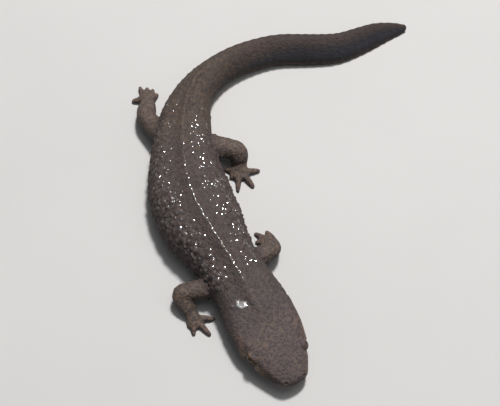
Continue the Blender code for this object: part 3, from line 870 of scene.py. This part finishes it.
    def pearls(self, paint: Painter, band: Socket, speckle: Socket) -> tuple[Socket, Socket]:
        """Beads of water on the wart tips, which stand in two bands along the back.

        Args:
            paint: The material.
            band: How densely they stand.
            speckle: Fine unevenness of the skin.

        Returns:
            Where the beads stand, and the normals of the wet surface.
        """
        beads = paint.cells(paint.place, self.pearl, 0.9)
        reach = paint.join(beads.outputs["Distance"], 1.0 / self.pearl_reach)
        fall = {0: 1.0, 1: paint.join(reach, reach)}
        domes = paint.add("ShaderNodeMath", fall, operation="SUBTRACT", use_clamp=True).outputs[0]
        picked = paint.share(paint.join(beads.outputs["Color"], band, "ADD"), 1.08, 1.12)
        pearls = paint.join(domes, picked)
        uneven = paint.join(pearls, paint.join(speckle, 0.15), "ADD")
        return pearls, paint.bump(uneven, self.pearl_height)


@dataclass(frozen=True)
class EyeSurface:
    """A living eye under its clear cornea: a black pupil in a golden brown iris, wet and smooth as glass."""

    pupil: str = "#050404"
    iris: str = "#4a3216"
    iris_rim: str = "#1a110a"
    white: str = "#1d1613"
    pupil_turn: float = 24.0
    iris_turn: float = 52.0
    streak: float = 0.18
    streak_turn: float = 10.0
    roughness: float = 0.04
    ior: float = 1.38

    def material(self) -> bpy.types.Material:
        """Builds the eye's material, which reads how far each point is turned from the pupil.

        Returns:
            The finished material.
        """
        paint = Painter("clear wet cornea over iris")
        streaks = paint.join(paint.noise(self.streak, 3.0), self.streak_turn)
        turn = paint.join(paint.read("turn"), streaks, "ADD")
        rings = (
            (self.pupil_turn + 4.0, self.pupil_turn + 7.0, self.iris),
            (self.iris_turn - 8.0, self.iris_turn + 2.0, self.iris_rim),
            (self.iris_turn + 4.0, self.iris_turn + 12.0, self.white),
        )
        colour: Any = self.pupil
        for low, high, over in rings:
            colour = paint.blend(paint.share(turn, low, high), colour, over)
        return paint.finish({"Base Color": colour, "Roughness": self.roughness, "IOR": self.ior})


@dataclass(frozen=True)
class PaintedBoard:
    """Matt painted board, rolled on: pale and even, with a faint cloudiness against a drawn look."""

    paint: str = "#9b9997"
    shade: str = "#949290"
    cloud: float = 60.0
    roughness: float = 0.8

    def material(self) -> bpy.types.Material:
        """Builds the floor's material."""
        paint = Painter("matt painted board")
        colour = paint.blend(paint.noise(self.cloud, 4.0), self.paint, self.shade)
        return paint.finish({"Base Color": colour, "Roughness": self.roughness})


@dataclass(frozen=True)
class WartBand:
    """How warts of one kind grow: where, how far apart, and how wide and high."""

    start: float
    stop: float
    low: float
    high: float
    spacing: float
    radius: float
    height: float

    def holds(self, place: SkinPlace) -> Numbers:
        """Which points lie in the band."""
        lengthwise = (place.along >= self.start) & (place.along < self.stop)
        return lengthwise & (place.around >= self.low) & (place.around < self.high)


@dataclass
class Skin:
    """The whole skin, from snout to tail tip with its four legs, as one closed piece.

    snout_rings and tip_rings are listed by their distance from that end, and even_rings says how far from
    snout and tip the evenly spaced ones between them stay. on_body and painted_body say between which
    spreads the shape and the colours of a leg give way to those of the body. A run is where something
    begins, is full, starts to fade and ends along the body, and pearl_sides is the same round it. The finer
    sizes are half widths, at the first step, of the bands round lips, lids and nostrils where faces are
    halved. The skin within joint_spread and joint_along, where a leg grows out of the trunk, is smoothed
    joint_rounds times.
    """

    body: BodyPlan
    legs: tuple[Leg, ...] = LEGS
    sockets: tuple[EyeSocket, ...] = SOCKETS
    finish: WetSkin = WetSkin()
    snout_rings: tuple[float, ...] = (0.0, 0.08, 0.2, 0.35)
    even_rings: tuple[float, float] = (0.55, 0.6)
    tip_rings: tuple[float, ...] = (0.4, 0.2, 0.0)
    ring_pitch: float = 0.5
    ring_points: int = 80
    voxel: float = 0.34
    seed: int = 63
    mouth_corner: float = 13.2
    mouth_line: tuple[tuple[float, float], ...] = (
        (0.0, -0.5),
        (2.0, -0.3),
        (5.0, -0.25),
        (8.5, -0.3),
        (11.0, -0.9),
        (13.2, -1.8),
    )
    groove_depth: float = 0.26
    lip_spread: float = 1.3
    finer_lips: float = 0.7
    finer_lids: float = 1.5
    finer_nostrils: float = 0.5
    finer_steps: tuple[float, ...] = (1.0, 0.6)
    finer_smoothing: float = 0.4
    joint_spread: tuple[float, float] = (1.03, 1.45)
    joint_along: tuple[float, float] = (24.0, 90.0)
    joint_rounds: int = 7
    nostril_along: float = 0.75
    nostril_from_top: float = 48.0
    nostril_radius: float = 0.36
    nostril_depth: float = 0.34
    on_body: tuple[float, float] = (1.22, 1.06)
    painted_body: tuple[float, float] = (1.25, 1.08)
    throat_fold: float = 21.6
    flank_wave: float = 3.4
    tail_wave: float = 2.3
    flank_run: tuple[float, ...] = (30.0, 38.0, 70.0, 78.0)
    pearl_run: tuple[float, ...] = (26.0, 32.0, 72.0, 92.0)
    pearl_sides: tuple[float, ...] = (6.0, 12.0, 48.0, 72.0)
    ridge_run: tuple[float, ...] = (24.0, 32.0, 84.0, 100.0)
    ridge_half_width: float = 0.55
    nape_patch: tuple[float, float] = (22.9, -22.0)
    nape_reach: tuple[float, float] = (1.4, 18.0)
    nape_slope: tuple[float, float] = (-0.067, 0.047)
    nape_level: float = 0.95
    lid_fold: float = 1.95
    warts: tuple[WartBand, ...] = (
        WartBand(30.0, 76.0, 15.0, 27.0, 2.4, 0.50, 0.22),
        WartBand(28.0, 78.0, 27.0, 62.0, 1.7, 0.60, 0.42),
        WartBand(31.0, 76.0, 62.0, 104.0, 1.5, 0.54, 0.34),
        WartBand(76.0, 96.0, 12.0, 100.0, 2.1, 0.42, 0.17),
        WartBand(14.0, 30.0, 30.0, 100.0, 1.9, 0.38, 0.12),
        WartBand(2.0, 24.0, 8.0, 85.0, 1.5, 0.30, 0.07),
    )
    wart_cell: float = 2.6
    replaced: tuple[str, ...] = (
        *("head", "lower_jaw", "neck", "torso", "tail_base", "tail_middle", "tail_tip"),
        *(f"{side}_{part}" for side in ("left", "right") for part in ("upper_arm", "forearm", "hand")),
        *(f"{side}_{part}" for side in ("left", "right") for part in ("thigh", "shank", "foot")),
    )

    def build(self) -> bpy.types.Object:
        """Makes, sculpts, paints and dresses the skin.

        Returns:
            The finished piece, in metres.
        """
        obj = self.block_out()
        self.make_one(obj)
        self.settle(obj)
        self.sculpt(obj.data)
        self.paint(obj.data)
        obj.data.transform(Matrix.Scale(METRES_PER_MM, 4))
        obj.data.shade_smooth()
        obj.data.materials.clear()
        obj.data.materials.append(self.finish.material())
        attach(obj, "root")
        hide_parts(*self.replaced)
        return obj

    def block_out(self) -> bpy.types.Object:
        """Lofts the body and the legs as closed forms that run into each other.

        Returns:
            An object of all the forms, still apart.
        """
        mesh = bmesh.new()
        first, last = self.even_rings
        places = list(self.snout_rings)
        places += list(np.arange(first, self.body.length - last, self.ring_pitch))
        places += [self.body.length - gap for gap in self.tip_rings]
        angles = np.linspace(0.0, 360.0, self.ring_points, endpoint=False)
        rings = []
        for along in places:
            ring = add_ring(mesh, self.ring_points, Matrix.Identity(4))
            shape = self.body.skin_points(np.full(self.ring_points, along), angles)
            for vert, point in zip(ring, shape):
                vert.co = point
            rings.append(ring)
        bridge(mesh, rings)
        for leg in self.legs:
            for tube in (sample_limb(leg), *sample_digits(leg)):
                tube.add_to(mesh)
        bmesh.ops.recalc_face_normals(mesh, faces=mesh.faces[:])
        return add_mesh("skin", mesh)

    def make_one(self, obj: bpy.types.Object) -> None:
        """Fuses the forms into one closed skin of even, fine faces.

        Args:
            obj: The object of all the forms, which gets the new mesh.
        """
        modifier = obj.modifiers.new("one skin", "REMESH")
        modifier.mode = "VOXEL"
        modifier.voxel_size = self.voxel
        graph = bpy.context.evaluated_depsgraph_get()
        fused = bpy.data.meshes.new_from_object(obj.evaluated_get(graph))
        obj.modifiers.clear()
        obj.data = fused

    def settle(self, obj: bpy.types.Object) -> None:
        """Smooths the skin where legs grow out of it, and makes it finer round the eyes and mouth.

        Args:
            obj: The skin.
        """
        mesh = bmesh.new()
        mesh.from_mesh(obj.data)
        place = self.body.locate(np.array([vert.co for vert in mesh.verts]))
        inner, outer = self.joint_spread
        first, last = self.joint_along
        joints = (place.spread > inner) & (place.spread < outer)
        joints &= (place.along > first) & (place.along < last)
        near = [vert for vert, chosen in zip(mesh.verts, joints) if chosen]
        smooth(mesh, mesh.verts[:])
        for _ in range(self.joint_rounds):
            smooth(mesh, near)
        for reach in self.finer_steps:
            self.refine(mesh, reach)
        mesh.to_mesh(obj.data)
        mesh.free()

    def refine(self, mesh: bmesh.types.BMesh, reach: float) -> None:
        """Halves the faces near the eyes, the mouth and the nostrils.

        Args:
            mesh: The skin.
            reach: How wide the finer bands are, as a share of the first ones.
        """
        points = np.array([vert.co for vert in mesh.verts])
        place = self.body.locate(points)
        chosen = np.abs(self.mouth_distance(place)) < self.finer_lips * reach
        chosen &= (place.along < self.mouth_corner + 0.6) & (place.spread < self.lip_spread)
        fine = [(spot, self.nostril_radius + self.finer_nostrils * reach) for spot in self.nostrils()]
        for eye in self.sockets:
            fine.append((eye.matrix(self.body).translation, eye.radius + self.finer_lids * reach))
        for middle, radius in fine:
            chosen |= np.linalg.norm(points - np.array(middle), axis=1) < radius
        mesh.verts.index_update()
        edges = [edge for edge in mesh.edges if chosen[edge.verts[0].index] and chosen[edge.verts[1].index]]
        made = bmesh.ops.subdivide_edges(mesh, edges=edges, cuts=1, use_grid_fill=True)
        new = [part for part in made["geom_inner"] if isinstance(part, bmesh.types.BMVert)]
        smooth(mesh, new, self.finer_smoothing)

    def mouth_distance(self, place: SkinPlace) -> Numbers:
        """How far above the line of the mouth each point lies."""
        along, rise = zip(*self.mouth_line)
        return place.rise - np.interp(place.along, along, rise)

    def nostrils(self) -> Numbers:
        """The middles of the two nostrils."""
        angles = np.array([-self.nostril_from_top, self.nostril_from_top])
        return self.body.skin_points(np.full(2, self.nostril_along), angles)

    def sculpt(self, data: bpy.types.Mesh) -> None:
        """Raises warts, ridge and folds on the skin, and shapes the lids, mouth and nostrils.

        Args:
            data: The skin's mesh.
        """
        points, normals = read_rows(data), read_rows(data, "normal")
        place = self.body.locate(points)
        on_body = smooth_step(place.spread, *self.on_body)
        wart = self.raise_warts(points, place, on_body)
        crest, beads = self.ridge(place)
        offset = wart + on_body * (crest + self.folds(place))
        offset += self.leg_grain(points, 1.0 - on_body)
        mouth = self.mouth(place)
        offset += mouth
        points = points + normals * offset[:, None]
        for spot in self.nostrils():
            near = np.linalg.norm(points - spot, axis=1) / self.nostril_radius
            sunk = self.nostril_depth * np.exp(-(near**4)) - 0.07 * bell(near, 1.45, 0.4)
            points = points - normals * sunk[:, None]
        points, film = self.level_nape(points, place)
        lids = np.zeros(len(points))
        for socket in self.sockets:
            points, crease_shade = self.shape_lids(points, socket)
            lids = np.maximum(lids, crease_shade)
        points[:, 2] = np.maximum(points[:, 2], 0.0)
        data.vertices.foreach_set("co", points.reshape(-1))
        data.update()
        dense = 0.5 + 0.45 * smooth_step(place.around, 14.0, 26.0)
        pearled = between(place.along, *self.pearl_run) * between(place.around, *self.pearl_sides) * dense
        numbers = {
            "wart": np.clip(wart / 0.3, 0.0, 1.0),
            # Painted shade in the mouth groove and the lid creases, for the material to darken.
            "crease_shade": np.clip(np.maximum(lids, np.clip(-mouth / 0.22, 0.0, 1.0)), 0.0, 1.0),
            "leg": 1.0 - on_body,
            "film": np.maximum(0.8 * film, beads) * on_body,
            "band": pearled * on_body,
        }
        write_numbers(data, numbers)

    def raise_warts(self, points: Numbers, place: SkinPlace, on_body: Numbers) -> Numbers:
        """Scatters warts over the back and flanks, each a dome of its own size.

        Args:
            points: The skin's points.
            place: Where they lie on the body.
            on_body: 1 on the body and 0 on the legs.

        Returns:
            How far each point is raised.
        """
        spacing, radius, height = (np.zeros(len(points)) for _ in range(3))
        for band in self.warts:
            inside = band.holds(place) & (on_body > 0.5)
            spacing[inside], radius[inside], height[inside] = band.spacing, band.radius, band.height
        draw = random.Random(self.seed)
        order = [int(i) for i in np.nonzero(spacing > 0)[0]]
        draw.shuffle(order)
        steps = tuple(itertools.product((-1, 0, 1), repeat=3))
        grown: dict[tuple[int, int, int], list[int]] = {}
        tree = kdtree.KDTree(len(points))
        rows = points.tolist()
        for i, row in enumerate(rows):
            tree.insert(row, i)
        tree.balance()
        raised = np.zeros(len(points))
        count = 0
        for i in order:
            cell = tuple(math.floor(value / self.wart_cell) for value in rows[i])
            x, y, z = cell
            gap = spacing[i] * draw.uniform(0.75, 1.1)
            near = (j for dx, dy, dz in steps for j in grown.get((x + dx, y + dy, z + dz), ()))
            if any(math.dist(rows[i], rows[j]) < gap for j in near):
                continue
            grown.setdefault(cell, []).append(i)
            count += 1
            reach = radius[i] * draw.uniform(0.7, 1.3) * 1.5
            tall = height[i] * draw.uniform(0.65, 1.25)
            for _, j, away in tree.find_range(rows[i], reach):
                raised[j] = max(raised[j], tall * (1.0 - (away / reach) ** 2) ** 2)
        LOG.info("%d warts", count)
        return raised

    def ridge(self, place: SkinPlace) -> tuple[Numbers, Numbers]:
        """The narrow beaded ridge along the middle of the back, from the nape to the tail.

        Args:
            place: Where the skin's points lie on the body.

        Returns:
            How far each point is raised, and how wet it is along the line of the beads.
        """
        reach = between(place.along, *self.ridge_run)
        draw = random.Random(self.seed)
        beads = np.zeros(len(place.along))
        middle = self.ridge_run[0]
        while middle < self.ridge_run[-1]:
            size = draw.uniform(0.32, 0.7)
            beads = np.maximum(beads, draw.uniform(0.6, 1.0) * bell(place.along, middle, size))
            middle += size + draw.uniform(0.55, 1.25)
        wander = 0.14 * np.sin(place.along * 1.3) + 0.1 * np.sin(place.along * 2.9)
        off_line = np.where(place.rise > 0, place.sideways - wander, self.body.length)
        crest = np.exp(-((off_line / self.ridge_half_width) ** 4)) * reach
        wet_line = bell(off_line, 0.0, 0.36) * smooth_step(place.along, 78.0, 66.0)
        return crest * (0.13 + 0.22 * beads), wet_line * reach * (0.05 + 0.95 * beads**1.5)

    def folds(self, place: SkinPlace) -> Numbers:
        """Soft wrinkles down the flanks, the fold across the throat, and rings on the tail.

        Args:
            place: Where the skin's points lie on the body.

        Returns:
            How far each point is raised.
        """
        along, around = place.along, place.around
        trunk = bell(around, 88.0, 26.0) * between(along, *self.flank_run)
        bend = 1.1 * np.sin(around * 0.06 + along * 0.31)
        waves = np.sin(along * 2 * math.pi / self.flank_wave + bend)
        armpit = 1.0 + 1.2 * bell(along, 35.0, 6.0)
        flank = 0.13 * trunk * waves * armpit
        fold = -0.34 * bell(along, self.throat_fold, 0.42)
        roll = 0.22 * bell(along, self.throat_fold - 1.3, 0.9)
        throat = smooth_step(around, 88.0, 112.0) * (fold + roll)
        line = np.maximum(25.4 - 0.06 * around, self.throat_fold)
        nape = -0.20 * bell(along, line, 0.5) * smooth_step(around, 100.0, 88.0)
        ripple = np.sin(along * 2 * math.pi / self.tail_wave + 0.8 * np.sin(around * 0.05))
        rings = 0.05 * smooth_step(along, 88.0, 104.0) * ripple
        return flank + throat + nape + rings

    def level_nape(self, points: Numbers, place: SkinPlace) -> tuple[Numbers, Numbers]:
        """Levels a patch of wet skin beside the ridge on the nape, where a film of water stands.

        Args:
            points: The skin's points.
            place: Where they lie on the body.

        Returns:
            The moved points, and how wet each is.
        """
        along, from_top = self.nape_patch
        away = points - self.body.skin_points(np.array([along]), np.array([from_top]))[0]
        east, north, up = away.T
        uneven = 0.3 * np.sin(east * 2.6 + 1.5 * np.sin(north * 2.2)) + 0.2 * np.sin(north * 4.3)
        half_length, half_turn = self.nape_reach
        turned = place.from_top - from_top
        lengthwise = (place.along - along) / half_length + turned / 40.0
        film = smooth_step(lengthwise**2 + (turned / half_turn) ** 2 + uneven, 1.15, 0.1)
        slope_east, slope_north = self.nape_slope
        points[:, 2] += film * (east * slope_east + north * slope_north - up) * self.nape_level
        return points, film

    def leg_grain(self, points: Numbers, on_leg: Numbers) -> Numbers:
        """Low uneven swellings on the legs, so that they aren't smooth rods."""
        x, y, z = points.T
        lumps = np.sin(x * 2.9 + 1.7 * np.sin(y * 2.1)) * np.sin(y * 3.1 + 1.3 * np.sin(z * 2.7))
        return 0.07 * on_leg * lumps * np.sin(z * 3.3 + x) * smooth_step(z, 1.2, 2.4)

    def mouth(self, place: SkinPlace) -> Numbers:
        """The closed line of the mouth, with the upper lip a little over the lower one.

        Args:
            place: Where the skin's points lie on the body.

        Returns:
            How far each point is raised.
        """
        above = self.mouth_distance(place)
        reach = smooth_step(place.along, self.mouth_corner + 0.5, self.mouth_corner - 0.7)
        lips = 0.11 * bell(above, 0.42, 0.3) - 0.09 * bell(above, -0.45, 0.35)
        lips -= self.groove_depth * bell(above, 0.0, 0.11)
        return reach * (place.spread < self.lip_spread) * lips

    def shape_lids(self, points: Numbers, socket: EyeSocket) -> tuple[Numbers, Numbers]:
        """Opens the lids over one eye and rolls their edges round.

        Args:
            points: The skin's points.
            socket: The eye.

        Returns:
            The moved points, and how much painted shade each gets in the crease at the edge of the lids and
            in their fold.
        """
        frame = socket.matrix(self.body)
        axes = np.array(frame.to_3x3())
        local = (points - np.array(frame.translation)) @ axes
        distance = np.linalg.norm(local, axis=1)
        way = local / distance[:, None]
        opening = np.hypot(way[:, 0] / socket.half_length, way[:, 1] / socket.half_height)
        near = smooth_step(distance, socket.radius * 2.3, socket.radius * 1.9)
        facing = smooth_step(way[:, 2], 0.0, 0.25) * near
        behind, edge, lid = socket.radius - 0.3, socket.radius + 0.14, socket.radius + 0.34
        wanted = behind + (edge - behind) * smooth_step(opening, 0.86, 1.0)
        wanted = wanted + (lid - edge) * smooth_step(opening, 1.0, 1.22)
        wanted = wanted - 0.22 * bell(opening, self.lid_fold, 0.16)
        hold = facing * smooth_step(opening, 2.3, 1.75)
        moved = distance + (wanted - distance) * hold
        result = np.array(frame.translation) + (way * moved[:, None]) @ axes.T
        fold = 0.5 * bell(opening, self.lid_fold, 0.2)
        # Painted shade in the crease at the lids' edge and in their fold.
        crease_shade = np.maximum(smooth_step(opening, 1.12, 0.98), fold)
        return result, facing * crease_shade

    def paint(self, data: bpy.types.Mesh) -> None:
        """Writes where each point lies and what colours it, for the material to read.

        Args:
            data: The skin's mesh.
        """
        points = read_rows(data)
        place = self.body.locate(points)
        along, around = place.along, place.around
        on_body = smooth_step(place.spread, *self.painted_body)
        from_tip = np.full(len(points), np.inf)
        for tip in [tip for leg in self.legs for tip in leg.tips]:
            end = np.array(placed((*tip, 0.6)))
            from_tip = np.minimum(from_tip, np.linalg.norm(points - end, axis=1))
        on_tail = smooth_step(along, 98.0, 112.0)
        edge_of_belly = 118.0 + 14.0 * smooth_step(along, 26.0, 14.0)
        belly = smooth_step(around - edge_of_belly, 0.0, 12.0) * on_body * smooth_step(along, 100.0, 90.0)
        rust = 0.6 * bell(around, 62.0, 16.0) * smooth_step(along, 19.0, 14.0) * smooth_step(along, 0.5, 3.0)
        keel = 0.8 * smooth_step(along, 84.0, 100.0) * smooth_step(around, 124.0, 146.0)
        numbers = {
            "along": along,
            "around": around,
            "toe": smooth_step(from_tip, 3.2, 0.6),
            "belly": belly,
            "rust": np.maximum(rust, keel),
            "lip": smooth_step(along, 15.0, 12.0) * bell(around, 80.0, 16.0),
            "stripe": on_tail * bell(around, 102.0, 19.0),
            "edge": on_tail * smooth_step(around, 84.0, 46.0),
        }
        write_numbers(data, numbers)


@dataclass
class Eye:
    """One eyeball with its bulging cornea, which fills the opening of the lids."""

    socket: EyeSocket
    body: BodyPlan
    finish: EyeSurface = EyeSurface()
    cornea_rise: float = 0.1
    cornea_turn: float = 30.0
    sides: int = 48
    rings: int = 32

    def build(self) -> bpy.types.Object:
        """Makes the eyeball and gives each point its turn from the middle of the pupil.

        Returns:
            The finished piece, in metres.
        """
        mesh = bmesh.new()
        radius = self.socket.radius
        bmesh.ops.create_uvsphere(mesh, u_segments=self.sides, v_segments=self.rings, radius=radius)
        turns = []
        for vert in mesh.verts:
            turn = math.degrees(vert.co.angle(UP))
            vert.co *= 1.0 + self.cornea_rise / radius * bell(turn, 0.0, self.cornea_turn)
            turns.append(turn)
        bmesh.ops.transform(mesh, matrix=self.socket.matrix(self.body), verts=mesh.verts[:])
        bmesh.ops.scale(mesh, vec=Vector((METRES_PER_MM,) * 3), verts=mesh.verts[:])
        name = self.socket.side.value
        obj = add_mesh(f"{name}_ball", mesh)
        write_numbers(obj.data, {"turn": np.array(turns)})
        obj.data.shade_smooth()
        obj.data.materials.append(self.finish.material())
        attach(obj, "root")
        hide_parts(name)
        return obj


@dataclass(frozen=True)
class Lamp:
    """One square light that faces the newt, with its place and size in metres and its power in watts."""

    name: str
    where: tuple[float, float, float]
    size: float
    power: float

    def hang(self) -> None:
        """Adds the light to the scene."""
        lamp = bpy.data.lights.new(self.name, "AREA")
        lamp.size = self.size
        lamp.energy = self.power
        obj = add_object(self.name, lamp)
        obj.location = self.where
        obj.rotation_euler = Vector(self.where).to_track_quat("Z", "Y").to_euler()


@dataclass
class Studio:
    """The floor, the lights and the camera. One lamp is small, for glints on the wet skin.

    The floor's half size and nearest, the distance where the camera's view starts, are in metres.
    """

    floor_half_size: float = 1.5
    board: PaintedBoard = PaintedBoard()
    look_at: tuple[float, float, float] = (0.0, 0.0, 4.7)
    elevation: float = 66.0
    distance: float = 365.5
    lens: float = 100.0
    nearest: float = 0.01
    sky: str = "#dfe3ea"
    sky_strength: float = 0.3
    lamps: tuple[Lamp, ...] = (
        Lamp("overhead", (0.12, 0.10, 0.75), 0.45, 1.7),
        Lamp("side", (0.7, -0.25, 0.6), 0.5, 0.5),
        Lamp("glint", (0.12, 0.31, 0.91), 0.12, 17.0),
    )

    def build(self) -> None:
        """Sets the studio up round the animal."""
        self.lay_floor()
        self.light_sky()
        for lamp in self.lamps:
            lamp.hang()
        self.aim_camera()
        bpy.context.scene.view_settings.view_transform = "Standard"

    def lay_floor(self) -> None:
        """A wide pale floor at the level of the newt's belly."""
        mesh = bmesh.new()
        bmesh.ops.create_grid(mesh, x_segments=1, y_segments=1, size=self.floor_half_size)
        floor = add_mesh("floor", mesh)
        floor.data.materials.append(self.board.material())

    def light_sky(self) -> None:
        """Faint even light from all round."""
        world = bpy.data.worlds.new("soft sky")
        world.use_nodes = True
        background = world.node_tree.nodes["Background"]
        background.inputs["Color"].default_value = linear(self.sky)
        background.inputs["Strength"].default_value = self.sky_strength
        bpy.context.scene.world = world

    def aim_camera(self) -> None:
        """Looks down at the newt as the photograph does."""
        camera = bpy.data.cameras.new("camera")
        camera.lens = self.lens
        camera.clip_start = self.nearest
        obj = add_object("camera", camera)
        lift = math.radians(self.elevation)
        back = Vector((0.0, -math.cos(lift), math.sin(lift)))
        obj.location = (placed(self.look_at) + back * self.distance) * METRES_PER_MM
        obj.rotation_euler = back.to_track_quat("Z", "Y").to_euler()
        bpy.context.scene.camera = obj


def build_each(pieces: dict[str, Callable[[], bpy.types.Object]]) -> None:
    """Builds pieces in order and reports each.

    Args:
        pieces: How each one is built, by its name.
    """
    for name, build in pieces.items():
        obj = build()
        obj.data.calc_loop_triangles()
        LOG.info("%s: %d triangles", name, len(obj.data.loop_triangles))


def main() -> None:
    """Loads the frame, builds the newt round it, and sets up the studio."""
    logging.basicConfig(level=logging.INFO, format="%(message)s")
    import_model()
    body = BodyPlan()
    left, right = (Eye(socket, body) for socket in SOCKETS)
    build_each({"skin": Skin(body).build, "left eye": left.build, "right eye": right.build})
    Studio().build()


if __name__ == "__main__":
    main()
